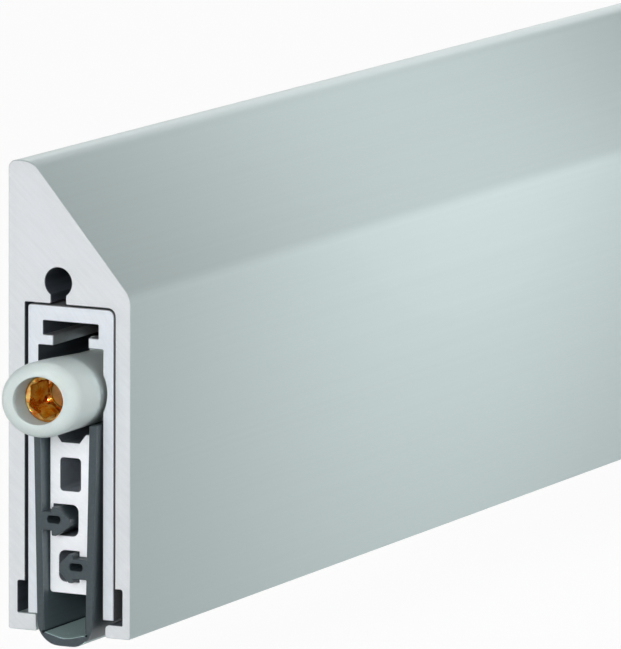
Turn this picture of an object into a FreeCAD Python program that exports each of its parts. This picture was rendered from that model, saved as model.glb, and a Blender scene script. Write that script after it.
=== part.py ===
import FreeCAD, Part
import os
import Sketcher
from FreeCAD import Placement, Rotation, Vector
from math import cos, pi, radians, sin

# Surface-mounted automatic door bottom seal.
# X runs along the door, Y points to the door leaf (its face is at y = 0), Z is up from the cover's feet.
# The plunger stands out of the near end, at -X. Pushing it in drops the bar with the seal.

doc = FreeCAD.newDocument("door_bottom_seal")

DRIVING = {
    # cover profile
    "length": 335.0,
    "cover_width": 17.5,
    "crown_height": 18.05,
    "crest_flat": 3.45,
    "crease_rise": 1.6,
    "back_wall": 2.4,
    "front_wall": 2.2,
    "pocket_height": 42.35,
    "foot_thickness": 1.75,
    "foot_reach": 1.2,
    "relief_depth": 1.05,
    "relief_height": 4.6,
    "back_round": 1.1,
    "crest_round": 3.0,
    "crease_round": 3.0,
    "pocket_round": 1.2,
    "foot_round": 0.7,
    "port_diameter": 3.6,
    "port_rise": 2.95,
    "port_shift": 1.78,
    "port_neck": 2.1,
    # guide channel inside the cover
    "back_gap": 0.4,
    "front_gap": 0.2,
    "roof_gap": 0.2,
    "foot_gap": 0.5,
    "channel_wall": 1.55,
    "channel_roof": 2.0,
    "channel_front_round": 1.05,
    "channel_back_round": 0.45,
    "tee_inset": 0.675,
    "tee_depth": 1.8,
    "ledge_thickness": 1.35,
    "ledge_reach": 2.075,
    # plunger head and its adjusting screw
    "head_bite": 0.57,
    "head_clearance": 0.3,
    "head_headroom": 0.73,
    "head_reach": 9.4,
    "head_slant": 22.0,
    "head_inside": 10.0,
    "head_rim": 1.4,
    "rim_steps": 4.0,
    "key_gap": 0.325,
    "key_length": 2.5,
    "key_height": 0.7,
    "adjuster_diameter": 6.0,
    "adjuster_length": 8.5,
    "adjuster_recess": 2.5,
    "adjuster_range": 1.4,
    "hex_across_flats": 4.5,
    "hex_turn": 6.0,
    "hex_depth": 5.0,
    "bead_height": 0.3,
    "bead_length": 1.0,
    "bead_place": 6.1,
    # push rod, return spring and their bush
    "rod_share": 0.869565217391,
    "rod_in_adjuster": 2.9,
    "rod_fork": 6.0,
    "running_gap": 0.05,
    "press_gap": 0.02,
    "collar_share": 1.9,
    "collar_length": 2.5,
    "collar_distance": 6.0,
    "spring_share": 0.9,
    "spring_wire": 0.9,
    "spring_length": 19.5,
    "spring_turns": 6.0,
    "spring_steps": 12.0,
    "bush_length": 8.0,
    "rivet_diameter": 1.5,
    # lift strip with its two inclined slots
    "stroke": 7.0,
    "drop": 9.0,
    "strip_thickness": 2.0,
    "strip_height": 5.0,
    "cam_inset": 85.0,
    "lobe_margin": 1.35,
    "strip_tail": 6.0,
    # guide blocks
    "block_gap": 0.2,
    "block_headroom": 0.3,
    "guide_length": 22.0,
    "slide_gap": 0.25,
    "block_pin": 3.0,
    # followers on the drop bar
    "cheek_thickness": 1.1,
    "cheek_length": 7.0,
    "cheek_headroom": 0.5,
    "cheek_margin": 1.6,
    "cheek_gap": 0.2,
    "saddle_inset": 0.1,
    "saddle_thickness": 1.0,
    "saddle_ends": 5.5,
    "pin_diameter": 2.5,
    "saddle_rivet": 1.9,
    # drop bar
    "bar_headroom": 0.63,
    "bar_gap": 0.6,
    "bar_height": 20.6,
    "bar_round": 0.4,
    "groove_edge": 0.7,
    "groove_flare": 0.9,
    "groove_depth": 1.2,
    "hollow_wall": 1.4,
    "hollow_height": 4.35,
    "hollow_web": 1.9,
    "hollow_round": 0.5,
    "back_slot_depth": 11.2,
    "front_slot_depth": 17.1,
    "back_neck": 2.6,
    "front_neck": 2.75,
    "chamber_height": 4.1,
    "back_lip": 0.45,
    "front_mouth": 1.3,
    "back_web": 1.75,
    "front_web": 1.25,
    "chamber_round": 0.9,
    # seal
    "seal_overhang": 1.6,
    "leg_thickness": 1.0,
    "leg_gap": 0.1,
    "leg_rise": 1.6,
    "leg_bevel": 0.7,
    "leg_lean": 0.6,
    "seal_reach": 1.3,
    "floor_thickness": 1.0,
    "floor_sag": 0.9,
    "floor_rise": 0.65,
    "floor_fill": 0.574,
    "sole_round": 2.6,
    "notch_size": 0.35,
    "barb_gap": 0.1,
    "wing_gap": 0.2,
    "back_wing_setback": 0.55,
    "front_wing_setback": 0.15,
    "wing_length": 0.6,
    "back_tip_gap": 0.4,
    "front_tip_gap": 0.8,
    "tip_half": 0.45,
    "back_nose": 1.4,
    "front_nose": 1.5,
    "barb_hole_height": 0.95,
    "barb_hole_setback": 0.35,
    "barb_hole_rise": 0.25,
}

# Places worked out from the driving dimensions, from the door face and the cover's feet.
WORKED_OUT = {
    "near_end": "-dims.length / 2",
    "near_cam": "near_end + dims.cam_inset",
    "far_cam": "-near_cam",
    "cover_top": "dims.pocket_height + dims.crown_height",
    "crease": "dims.pocket_height + dims.crease_rise",
    "channel_width": "dims.cover_width - dims.back_wall - dims.front_wall - dims.back_gap - dims.front_gap",
    "channel_back": "-(dims.back_wall + dims.back_gap)",
    "channel_front": "channel_back - channel_width",
    "centre": "channel_back - channel_width / 2",
    "channel_top": "dims.pocket_height - dims.roof_gap",
    "channel_bottom": "dims.foot_thickness + dims.foot_gap",
    "inner_half": "channel_width / 2 - dims.channel_wall",
    "foot_half": "channel_width / 2 - dims.foot_reach",
    "tee_half": "inner_half - dims.tee_inset",
    "ledge_half": "inner_half - dims.ledge_reach",
    "key_half": "ledge_half - dims.key_gap",
    "head_radius": "inner_half + dims.head_bite - dims.head_clearance",
    "head_diameter": "2 * head_radius",
    "rod_diameter": "dims.rod_share * inner_half",
    "collar_diameter": "dims.collar_share * rod_diameter",
    "spring_radius": "dims.spring_share * rod_diameter",
    "tee_top": "channel_top - dims.channel_roof",
    "ledge_top": "tee_top - dims.tee_depth",
    "ledge_bottom": "ledge_top - dims.ledge_thickness",
    "axis_height": "ledge_bottom - dims.head_headroom - head_radius",
    "bar_top": "axis_height - head_radius - dims.bar_headroom",
    "bar_bottom": "bar_top - dims.bar_height",
    "bar_half": "inner_half - dims.leg_gap - dims.leg_thickness - dims.bar_gap",
    "saddle_half": "bar_half - dims.saddle_inset",
    "groove_half": "bar_half - dims.groove_edge",
    "groove_floor_half": "groove_half - dims.groove_flare",
    "hollow_half": "bar_half - dims.hollow_wall",
    "front_lip": "bar_half - dims.front_mouth",
    "back_chamber": "2 * bar_half - dims.back_lip - dims.back_web",
    "front_chamber": "2 * bar_half - front_lip - dims.front_web",
    "hollow_top": "bar_top - dims.groove_depth - dims.hollow_web",
    "back_slot": "bar_top - dims.back_slot_depth",
    "front_slot": "bar_top - dims.front_slot_depth",
    "leg_top": "bar_top + dims.leg_rise",
    "leg_outer": "inner_half - dims.leg_gap",
    "leg_foot": "leg_outer - dims.leg_lean",
    "sole": "-dims.seal_reach",
    "floor_edge": "sole + dims.floor_thickness + dims.floor_rise",
    "leg_slope": "dims.leg_lean / (leg_top - sole)",
    "floor_half": "leg_foot - dims.leg_thickness - dims.notch_size / 2",
    "floor_round": "dims.floor_fill * floor_half * sqrt(floor_half ^ 2 + dims.floor_sag ^ 2) / dims.floor_sag",
    "head_face": "near_end - dims.head_reach",
    "head_end": "near_end + dims.head_inside",
    "adjuster_face": "head_face + dims.adjuster_recess",
    "adjuster_end": "adjuster_face + dims.adjuster_length",
    "rod_start": "adjuster_end - dims.rod_in_adjuster",
    "collar_start": "head_end + dims.collar_distance",
    "spring_start": "collar_start + dims.collar_length",
    "bush_start": "spring_start + dims.spring_length",
    "bush_end": "bush_start + dims.bush_length",
    "strip_start": "bush_end + 2 * dims.running_gap",
    "rod_end": "strip_start + dims.rod_fork",
    "block_bottom": "leg_top + dims.block_headroom",
    "block_half": "inner_half - dims.block_gap",
    "cheek_top": "ledge_bottom - dims.cheek_headroom",
    "pin_height": "cheek_top - dims.cheek_margin",
    "slot_half": "dims.pin_diameter / 2 + dims.running_gap",
    "slot_run": "sqrt(dims.stroke ^ 2 + dims.drop ^ 2)",
    "slot_across": "slot_half * dims.drop / slot_run",
    "slot_rise": "slot_half * dims.stroke / slot_run",
    "lobe_reach": "slot_half + dims.lobe_margin",
    "lobe_bottom": "pin_height - dims.drop - lobe_reach",
    "lobe_top": "pin_height + lobe_reach",
    "cheek_inner": "dims.strip_thickness / 2 + dims.cheek_gap",
    "cheek_outer": "cheek_inner + dims.cheek_thickness",
    "saddle_top": "bar_top + dims.saddle_thickness",
    "window_half": "dims.strip_thickness / 2 + dims.slide_gap",
    "port_y": "centre + dims.port_shift",
    "port_z": "dims.pocket_height + dims.port_rise",
}

NAME_COLUMN, VALUE_COLUMN = "A", "B"


def fill_sheet(label, cells, formula=""):
    sheet = doc.addObject("Spreadsheet::Sheet", label)
    for row, (alias, content) in enumerate(cells.items(), start=1):
        sheet.set(NAME_COLUMN + str(row), alias)
        sheet.set(VALUE_COLUMN + str(row), formula + str(content))
        sheet.setAlias(VALUE_COLUMN + str(row), alias)
    doc.recompute()
    return sheet


dims = fill_sheet("dims", DRIVING)
places = fill_sheet("places", WORKED_OUT, formula="=")


def value(expression):
    return float(places.evalExpression(expression))


def new_body(label):
    body = doc.addObject("PartDesign::Body", label)
    body.Label = label
    return body


def new_sketch(body, name, role, offset):
    # role YZ_Plane looks along X, XZ_Plane along Y and XY_Plane along Z; offset runs along the plane's normal
    sketch = body.newObject("Sketcher::SketchObject", name)
    plane = next(feature for feature in body.Origin.OriginFeatures if feature.Role == role)
    sketch.AttachmentSupport = [(plane, "")]
    sketch.MapMode = "FlatFace"
    sketch.setExpression("AttachmentOffset.Base.z", offset)
    return sketch


def place_point(sketch, geometry, position, across, upward):
    # pins one point of the sketch to its two expressions
    for kind, expression in (("DistanceX", across), ("DistanceY", upward)):
        limit = Sketcher.Constraint(kind, -1, 1, geometry, position, value(expression))
        index = sketch.addConstraint(limit)
        sketch.setExpression(f"Constraints[{index}]", expression)


def draw_loop(sketch, points):
    first = sketch.GeometryCount
    spots = [Vector(value(across), value(upward), 0) for across, upward in points]
    lines = [Part.LineSegment(a, b) for a, b in zip(spots, spots[1:] + spots[:1])]
    sketch.addGeometry(lines, False)
    count = len(points)
    for i in range(count):
        sketch.addConstraint(Sketcher.Constraint("Coincident", first + i, 2, first + (i + 1) % count, 1))
    for i, (across, upward) in enumerate(points):
        place_point(sketch, first + i, 1, across, upward)


def draw_circle(sketch, across, upward, diameter):
    centre = Vector(value(across), value(upward), 0)
    index = sketch.addGeometry(Part.Circle(centre, Vector(0, 0, 1), value(diameter) / 2), False)
    place_point(sketch, index, 3, across, upward)
    size = sketch.addConstraint(Sketcher.Constraint("Diameter", index, value(diameter)))
    sketch.setExpression(f"Constraints[{size}]", diameter)


def rectangle(across_low, across_high, upward_low, upward_high):
    return [(across_low, upward_low), (across_high, upward_low),
            (across_high, upward_high), (across_low, upward_high)]


def pad(body, name, sketch, length):
    feature = body.newObject("PartDesign::Pad", name)
    feature.Profile = sketch
    feature.setExpression("Length", length)
    doc.recompute()
    return feature


def pocket(body, name, sketch, length):
    # cuts along the sketch's own normal, and has to take something away
    before = body.Shape.Volume
    feature = body.newObject("PartDesign::Pocket", name)
    feature.Profile = sketch
    feature.Reversed = True
    feature.setExpression("Length", length)
    doc.recompute()
    if not body.Shape.Volume < before:
        raise RuntimeError(f"{name} cuts nothing")
    return feature


def round_corners(body, name, corners, radius):
    # rounds the edges along X that stand at the given places of the section
    spots = [(value(across), value(upward)) for across, upward in corners]
    tip = body.Tip
    chosen = []
    for number, edge in enumerate(tip.Shape.Edges, start=1):
        box = edge.BoundBox
        along = box.XLength > 1 and max(box.YLength, box.ZLength) < 1e-4
        if along and any(abs(box.YMin - y) + abs(box.ZMin - z) < 1e-3 for y, z in spots):
            chosen.append(f"Edge{number}")
    if len(chosen) != len(corners):
        raise RuntimeError(f"{name} found {len(chosen)} edges of {len(corners)}")
    feature = body.newObject("PartDesign::Fillet", name)
    feature.Base = (tip, chosen)
    feature.setExpression("Radius", radius)
    doc.recompute()


def offset_from_centre(distance):
    return f"places.centre + ({distance})"


def cover():
    body = new_body("cover")
    sketch = new_sketch(body, "cover_section", "YZ_Plane", "places.near_end")
    front = "-dims.cover_width"
    front_inner = "dims.front_wall - dims.cover_width"
    front_relief = f"{front_inner} - dims.relief_depth"
    back_inner = "-dims.back_wall"
    back_relief = "dims.relief_depth - dims.back_wall"
    front_foot = offset_from_centre("-places.foot_half")
    back_foot = offset_from_centre("places.foot_half")
    relief_top = "dims.foot_thickness + dims.relief_height"
    draw_loop(sketch, [
        ("0", "0"),
        ("0", "places.cover_top"),
        ("-dims.crest_flat", "places.cover_top"),
        (front, "places.crease"),
        (front, "0"),
        (front_foot, "0"),
        (front_foot, "dims.foot_thickness"),
        (front_relief, "dims.foot_thickness"),
        (front_relief, relief_top),
        (front_inner, relief_top),
        (front_inner, "dims.pocket_height"),
        (back_inner, "dims.pocket_height"),
        (back_inner, relief_top),
        (back_relief, relief_top),
        (back_relief, "dims.foot_thickness"),
        (back_foot, "dims.foot_thickness"),
        (back_foot, "0"),
    ])
    pad(body, "cover_profile", sketch, "dims.length")
    round_corners(body, "back_edge", [("0", "places.cover_top")], "dims.back_round")
    round_corners(body, "crest_edge", [("-dims.crest_flat", "places.cover_top")], "dims.crest_round")
    round_corners(body, "crease_edge", [(front, "places.crease")], "dims.crease_round")
    round_corners(body, "pocket_edge", [(front_inner, "dims.pocket_height")], "dims.pocket_round")
    round_corners(body, "foot_edge", [(front_foot, "dims.foot_thickness")], "dims.foot_round")
    port = new_sketch(body, "port_circle", "YZ_Plane", "places.near_end")
    draw_circle(port, "places.port_y", "places.port_z", "dims.port_diameter")
    pocket(body, "screw_port", port, "dims.length")
    neck = new_sketch(body, "neck_outline", "YZ_Plane", "places.near_end")
    draw_loop(neck, rectangle("places.port_y - dims.port_neck / 2", "places.port_y + dims.port_neck / 2",
                              "dims.pocket_height", "places.port_z"))
    pocket(body, "port_neck_cut", neck, "dims.length")
    return body


def block_stations():
    # the pieces that hang in the channel's tee slot: start and length along X
    half = "dims.guide_length / 2"
    return [
        ("places.bush_start", "dims.bush_length"),
        (f"places.near_cam - {half}", "dims.guide_length"),
        (f"places.far_cam - {half}", "dims.guide_length"),
    ]


def block_pin_places():
    # one pin holds each block; on the guides it stands clear behind the moving follower
    spots = []
    for start, length in block_stations():
        spots.append(f"{start} + {length} - dims.bush_length / 2")
    return spots


def channel():
    body = new_body("guide_channel")
    sketch = new_sketch(body, "channel_section", "YZ_Plane", "places.near_end")
    right = [
        ("places.channel_front", "places.channel_top"),
        ("places.channel_front", "places.channel_bottom"),
        (offset_from_centre("-places.inner_half"), "places.channel_bottom"),
        (offset_from_centre("-places.inner_half"), "places.ledge_bottom"),
        (offset_from_centre("-places.ledge_half"), "places.ledge_bottom"),
        (offset_from_centre("-places.ledge_half"), "places.ledge_top"),
        (offset_from_centre("-places.tee_half"), "places.ledge_top"),
        (offset_from_centre("-places.tee_half"), "places.tee_top"),
    ]
    left = [
        (offset_from_centre("places.tee_half"), "places.tee_top"),
        (offset_from_centre("places.tee_half"), "places.ledge_top"),
        (offset_from_centre("places.ledge_half"), "places.ledge_top"),
        (offset_from_centre("places.ledge_half"), "places.ledge_bottom"),
        (offset_from_centre("places.inner_half"), "places.ledge_bottom"),
        (offset_from_centre("places.inner_half"), "places.channel_bottom"),
        ("places.channel_back", "places.channel_bottom"),
        ("places.channel_back", "places.channel_top"),
    ]
    draw_loop(sketch, right + left)
    pad(body, "channel_profile", sketch, "dims.length")
    round_corners(body, "front_edge", [right[0]], "dims.channel_front_round")
    round_corners(body, "rear_edge", [left[-1]], "dims.channel_back_round")
    bore = new_sketch(body, "head_bore", "YZ_Plane", "places.near_end")
    draw_circle(bore, "places.centre", "places.axis_height", "places.head_diameter + 2 * dims.head_clearance")
    pocket(body, "head_seat", bore, "dims.head_inside + dims.stroke + 2 * dims.adjuster_range")
    holes = new_sketch(body, "block_pin_holes", "XY_Plane", "places.tee_top")
    for spot in block_pin_places():
        draw_circle(holes, spot, "places.centre", "dims.block_pin + 2 * dims.press_gap")
    pocket(body, "block_pin_passages", holes, "dims.channel_roof")
    return body


def axis_cylinder(start, end, diameter):
    # cylinder on the plunger's axis between two places along X
    base = Vector(value(start), value("places.centre"), value("places.axis_height"))
    return Part.makeCylinder(value(diameter) / 2, value(f"({end}) - ({start})"), base, Vector(1, 0, 0))


def slanted_ring(depth, inset):
    # outline of the head on a plane that lies this far behind its slanted face, drawn in by the inset
    slant = radians(value("dims.head_slant"))
    radius = value("places.head_radius")
    across = Vector(-sin(slant), cos(slant), 0)
    centre = Vector(value("places.head_face") + depth / cos(slant), value("places.centre"),
                    value("places.axis_height"))
    major = centre + across * (radius / cos(slant) - inset)
    minor = centre + Vector(0, 0, radius - inset)
    return Part.Wire([Part.Ellipse(major, minor, centre).toShape()])


def plunger_head():
    # round stem with a slanted face; its rim turns over in a few steps
    rim = value("dims.head_rim")
    steps = int(value("dims.rim_steps"))
    rings = []
    for step in range(steps + 1):
        turn = radians(90 * step / steps)
        rings.append(slanted_ring(rim * (1 - sin(turn)), rim * (1 - cos(turn))))
    nose = Part.makeLoft(rings, True, True)
    stem = axis_cylinder("places.head_face - places.head_diameter", "places.head_end", "places.head_diameter")
    slant = value("dims.head_slant")
    size = 4 * value("places.head_diameter")
    front = Part.makeBox(size, size, size, Vector(-size, -size / 2, -size / 2))
    edge = Vector(value("places.head_face") + rim / cos(radians(slant)), value("places.centre"),
                  value("places.axis_height"))
    front.Placement = Placement(edge, Rotation(Vector(0, 0, 1), slant))
    key = Part.makeBox(value("dims.key_length"), value("2 * places.key_half"),
                       value("places.ledge_bottom + dims.key_height - places.axis_height"),
                       Vector(value("places.head_end - dims.key_length"),
                              value("places.centre - places.key_half"), value("places.axis_height")))
    bore_size = "dims.adjuster_diameter + 2 * dims.running_gap"
    groove = "places.adjuster_face + dims.bead_place"
    holes = [
        axis_cylinder("places.head_face - places.head_diameter", "places.adjuster_end + dims.running_gap", bore_size),
        axis_cylinder(f"{groove} - dims.running_gap", f"{groove} + dims.bead_length + dims.running_gap",
                      f"{bore_size} + 2 * dims.bead_height"),
        axis_cylinder("places.adjuster_end", "places.head_end", "places.rod_diameter + 4 * dims.running_gap"),
    ]
    feature = doc.addObject("Part::Feature", "plunger_head")
    feature.Label = "plunger_head"
    feature.Shape = stem.cut(front).fuse([nose, key]).cut(holes).removeSplitter()
    doc.recompute()
    return feature


def adjuster():
    body = new_body("adjusting_screw")
    barrel = new_sketch(body, "barrel_circle", "YZ_Plane", "places.adjuster_face")
    draw_circle(barrel, "places.centre", "places.axis_height", "dims.adjuster_diameter")
    pad(body, "barrel", barrel, "dims.adjuster_length")
    bead = new_sketch(body, "bead_circle", "YZ_Plane", "places.adjuster_face + dims.bead_place")
    draw_circle(bead, "places.centre", "places.axis_height", "dims.adjuster_diameter + 2 * dims.bead_height")
    pad(body, "snap_bead", bead, "dims.bead_length")
    hexagon = new_sketch(body, "hex_outline", "YZ_Plane", "places.adjuster_face")
    corner = "dims.hex_across_flats / 2 / cos(30)"
    draw_loop(hexagon, [
        (offset_from_centre(f"{corner} * cos(dims.hex_turn + 30 + 60 * {k})"),
         f"places.axis_height + {corner} * sin(dims.hex_turn + 30 + 60 * {k})")
        for k in range(6)])
    pocket(body, "hex_socket", hexagon, "dims.hex_depth")
    thread = new_sketch(body, "thread_circle", "YZ_Plane", "places.adjuster_face + dims.hex_depth")
    draw_circle(thread, "places.centre", "places.axis_height", "places.rod_diameter + 2 * dims.running_gap")
    pocket(body, "thread_bore", thread, "dims.adjuster_length - dims.hex_depth")
    return body


def push_rod():
    body = new_body("push_rod")
    circle = new_sketch(body, "rod_circle", "YZ_Plane", "places.rod_start")
    draw_circle(circle, "places.centre", "places.axis_height", "places.rod_diameter")
    pad(body, "rod", circle, "places.rod_end - places.rod_start")
    fork = new_sketch(body, "fork_outline", "YZ_Plane", "places.strip_start - dims.press_gap")
    half = "(dims.strip_thickness / 2 + dims.press_gap)"
    draw_loop(fork, rectangle(offset_from_centre(f"-{half}"), offset_from_centre(half),
                              "places.axis_height - places.rod_diameter", "places.axis_height + places.rod_diameter"))
    pocket(body, "fork", fork, "2 * dims.rod_fork")
    hole = new_sketch(body, "rivet_hole", "XZ_Plane", "0")
    draw_circle(hole, "places.strip_start + dims.rod_fork / 2", "places.axis_height",
                "dims.rivet_diameter + 2 * dims.press_gap")
    pocket(body, "rivet_passage", hole, "dims.cover_width")
    return body


def turned_ring(label, start, length, outer, inner):
    body = new_body(label)
    sketch = new_sketch(body, label + "_section", "YZ_Plane", start)
    draw_circle(sketch, "places.centre", "places.axis_height", outer)
    draw_circle(sketch, "places.centre", "places.axis_height", inner)
    pad(body, label + "_ring", sketch, length)
    return body


def return_spring():
    # flat-wire compression spring between the collar and the bush, wound about the rod
    half = value("dims.spring_wire / 2")
    radius = value("places.spring_radius") - half
    first = value("places.spring_start + dims.running_gap") + half
    last = value("places.bush_start - dims.block_gap") - half
    centre = Vector(0, value("places.centre"), value("places.axis_height"))
    steps = int(value("dims.spring_turns * dims.spring_steps"))
    points = []
    for step in range(steps + 1):
        turn = 2 * pi * value("dims.spring_turns") * step / steps
        along = first + (last - first) * step / steps
        points.append(centre + Vector(along, radius * cos(turn), radius * sin(turn)))
    corners = [points[0] + Vector(a * half, b * half, 0) for a, b in ((-1, -1), (1, -1), (1, 1), (-1, 1))]
    section = Part.makePolygon(corners + corners[:1])
    mitred = 1
    coil = Part.Wire(Part.makePolygon(points)).makePipeShell([section], True, False, mitred)
    feature = doc.addObject("Part::Feature", "return_spring")
    feature.Label = "return_spring"
    feature.Shape = coil
    doc.recompute()
    return feature


def tee_block(label, start, length):
    # body below the ledges, neck between them and head in the tee slot above
    body = new_body(label)
    sketch = new_sketch(body, label + "_section", "YZ_Plane", start)
    body_top = "places.ledge_bottom - dims.block_gap"
    neck = "(places.ledge_half - dims.block_gap)"
    head = "(places.tee_half - dims.block_gap)"
    head_bottom = "places.ledge_top + dims.press_gap"
    head_top = "places.tee_top - dims.block_gap"
    half_section = [
        ("places.block_half", "places.block_bottom"),
        ("places.block_half", body_top),
        (neck, body_top),
        (neck, head_bottom),
        (head, head_bottom),
        (head, head_top),
    ]
    back = [(offset_from_centre(o), z) for o, z in half_section]
    front = [(offset_from_centre(f"-{o}"), z) for o, z in reversed(half_section)]
    draw_loop(sketch, back + front)
    pad(body, label + "_profile", sketch, length)
    hole = new_sketch(body, label + "_hole_circle", "XY_Plane", "places.ledge_bottom")
    draw_circle(hole, f"{start} + {length} - dims.bush_length / 2", "places.centre",
                "dims.block_pin + 2 * dims.press_gap")
    pocket(body, label + "_pin_hole", hole, "places.channel_top - places.ledge_bottom")
    return body


def rod_bush():
    start, length = block_stations()[0]
    body = tee_block("rod_bush", start, length)
    bore = new_sketch(body, "bush_bore", "YZ_Plane", start)
    draw_circle(bore, "places.centre", "places.axis_height", "places.rod_diameter + 2 * dims.running_gap")
    pocket(body, "rod_guide", bore, length)
    return body


def guide_block(label, start, length, cam):
    # the strip runs through the block, and the follower's cheeks rise and fall in its well
    body = tee_block(label, start, length)
    run = new_sketch(body, label + "_run", "YZ_Plane", start)
    draw_loop(run, rectangle(offset_from_centre("-places.window_half"), offset_from_centre("places.window_half"),
                             "places.block_bottom - dims.block_gap", "places.lobe_top + dims.block_gap"))
    pocket(body, label + "_strip_run", run, length)
    well = new_sketch(body, label + "_well", "XY_Plane", "places.block_bottom - dims.block_gap")
    reach = "(dims.cheek_length / 2 + dims.cheek_gap)"
    side = "(places.cheek_outer + dims.cheek_gap)"
    draw_loop(well, rectangle(f"{cam} - {reach}", f"{cam} + {reach}",
                              offset_from_centre(f"-{side}"), offset_from_centre(side)))
    pocket(body, label + "_follower_well", well, "places.ledge_bottom - places.block_bottom")
    return body


def lift_strip(cams):
    # one plate with a lobe at each follower; the inclined slots turn its stroke into the bar's drop
    body = new_body("lift_strip")
    plane_offset = "-(places.centre + dims.strip_thickness / 2)"
    sketch = new_sketch(body, "strip_outline", "XZ_Plane", plane_offset)
    low = "places.axis_height - dims.strip_height / 2"
    high = "places.axis_height + dims.strip_height / 2"
    bottom = [("places.strip_start", low)]
    top = [("places.strip_start", high)]
    for cam in cams:
        toe = f"{cam} - dims.stroke - places.lobe_reach"
        heel = f"{cam} + places.lobe_reach"
        bottom += [
            (toe, low),
            (toe, "places.lobe_bottom"),
            (f"{cam} - dims.stroke + places.lobe_reach / 2", "places.lobe_bottom"),
            (heel, low),
        ]
        top += [
            (toe, high),
            (f"{cam} - places.lobe_reach / 2", "places.lobe_top"),
            (heel, "places.lobe_top"),
            (heel, high),
        ]
    tail = f"{cams[-1]} + places.lobe_reach + dims.strip_tail"
    draw_loop(sketch, bottom + [(tail, low), (tail, high)] + top[::-1])
    pad(body, "strip_plate", sketch, "dims.strip_thickness")
    ends = new_sketch(body, "slot_ends", "XZ_Plane", plane_offset)
    runs = new_sketch(body, "slot_runs", "XZ_Plane", plane_offset)
    for cam in cams:
        low_x = f"{cam} - dims.stroke"
        low_z = "places.pin_height - dims.drop"
        draw_circle(ends, cam, "places.pin_height", "2 * places.slot_half")
        draw_circle(ends, low_x, low_z, "2 * places.slot_half")
        draw_loop(runs, [
            (f"{low_x} - places.slot_across", f"{low_z} + places.slot_rise"),
            (f"{low_x} + places.slot_across", f"{low_z} - places.slot_rise"),
            (f"{cam} + places.slot_across", "places.pin_height - places.slot_rise"),
            (f"{cam} - places.slot_across", "places.pin_height + places.slot_rise"),
        ])
    pocket(body, "slot_rounds", ends, "dims.strip_thickness")
    pocket(body, "inclined_slots", runs, "dims.strip_thickness")
    hole = new_sketch(body, "strip_rivet_hole", "XZ_Plane", plane_offset)
    draw_circle(hole, "places.strip_start + dims.rod_fork / 2", "places.axis_height",
                "dims.rivet_diameter + 2 * dims.press_gap")
    pocket(body, "strip_rivet_passage", hole, "dims.strip_thickness")
    return body


def cross_pin(label, along, height, diameter, half_length):
    body = new_body(label)
    sketch = new_sketch(body, label + "_circle", "XZ_Plane", f"-(places.centre + {half_length})")
    draw_circle(sketch, along, height, diameter)
    pad(body, label + "_shank", sketch, f"2 * {half_length}")
    return body


def saddle_rivet_places(cam):
    # one rivet past each end of the strip's window
    return [
        f"{cam} - dims.stroke - places.lobe_reach - 2 * dims.slide_gap - dims.saddle_ends / 2",
        f"{cam} + dims.cheek_length / 2 + dims.saddle_ends / 2",
    ]


def window(cam):
    # the gap in the saddle and bar that lets the strip's lobe dip below the bar's top
    return rectangle(f"{cam} - dims.stroke - places.lobe_reach - 2 * dims.slide_gap",
                     f"{cam} + places.lobe_reach + dims.slide_gap",
                     offset_from_centre("-places.window_half"), offset_from_centre("places.window_half"))


def follower_saddle(label, cam):
    body = new_body(label)
    base = new_sketch(body, label + "_base", "XY_Plane", "places.bar_top")
    rivets = saddle_rivet_places(cam)
    draw_loop(base, rectangle(f"{rivets[0]} - dims.saddle_ends / 2", f"{rivets[1]} + dims.saddle_ends / 2",
                              offset_from_centre("-places.saddle_half"),
                              offset_from_centre("places.saddle_half")))
    draw_loop(base, window(cam))
    for rivet in rivets:
        draw_circle(base, rivet, "places.centre", "dims.saddle_rivet + 2 * dims.press_gap")
    pad(body, label + "_plate", base, "dims.saddle_thickness")
    cheeks = new_sketch(body, label + "_cheeks", "XY_Plane", "places.bar_top")
    for inner, outer in (("places.cheek_inner", "places.cheek_outer"),
                         ("-places.cheek_outer", "-places.cheek_inner")):
        draw_loop(cheeks, rectangle(f"{cam} - dims.cheek_length / 2", f"{cam} + dims.cheek_length / 2",
                                    offset_from_centre(inner), offset_from_centre(outer)))
    pad(body, label + "_uprights", cheeks, "places.cheek_top - places.bar_top")
    hole = new_sketch(body, label + "_pin_hole", "XZ_Plane", "0")
    draw_circle(hole, cam, "places.pin_height", "dims.pin_diameter + 2 * dims.press_gap")
    pocket(body, label + "_pin_passage", hole, "dims.cover_width")
    return body


def pin_group(label, spots, diameter, bottom, top):
    # like pins along the centre line
    pieces = []
    for number, spot in enumerate(spots, start=1):
        cylinder = doc.addObject("Part::Cylinder", f"{label}_{number}")
        cylinder.setExpression("Radius", f"({diameter}) / 2")
        cylinder.setExpression("Height", f"({top}) - ({bottom})")
        cylinder.setExpression("Placement.Base.x", spot)
        cylinder.setExpression("Placement.Base.y", "places.centre")
        cylinder.setExpression("Placement.Base.z", bottom)
        pieces.append(cylinder)
    group = doc.addObject("Part::Compound", label)
    group.Links = pieces
    group.Label = label
    doc.recompute()
    return group


def bar_slot(side, slot, neck, lip, depth):
    # undercut slot that opens on one side of the bar, from its upper lip to its lower one
    edge = f"{side} * places.bar_half"
    mouth = f"{side} * (places.bar_half - {lip})"
    end = f"{side} * (places.bar_half - {lip} - {depth})"
    half_neck = f"{neck} / 2"
    half_chamber = "dims.chamber_height / 2"
    upper = [(edge, half_neck), (mouth, half_neck), (mouth, half_chamber), (end, half_chamber)]
    lower = [(o, f"-{z}") for o, z in reversed(upper)]
    return [(offset_from_centre(o), f"{slot} + ({z})") for o, z in upper + lower]


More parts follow.
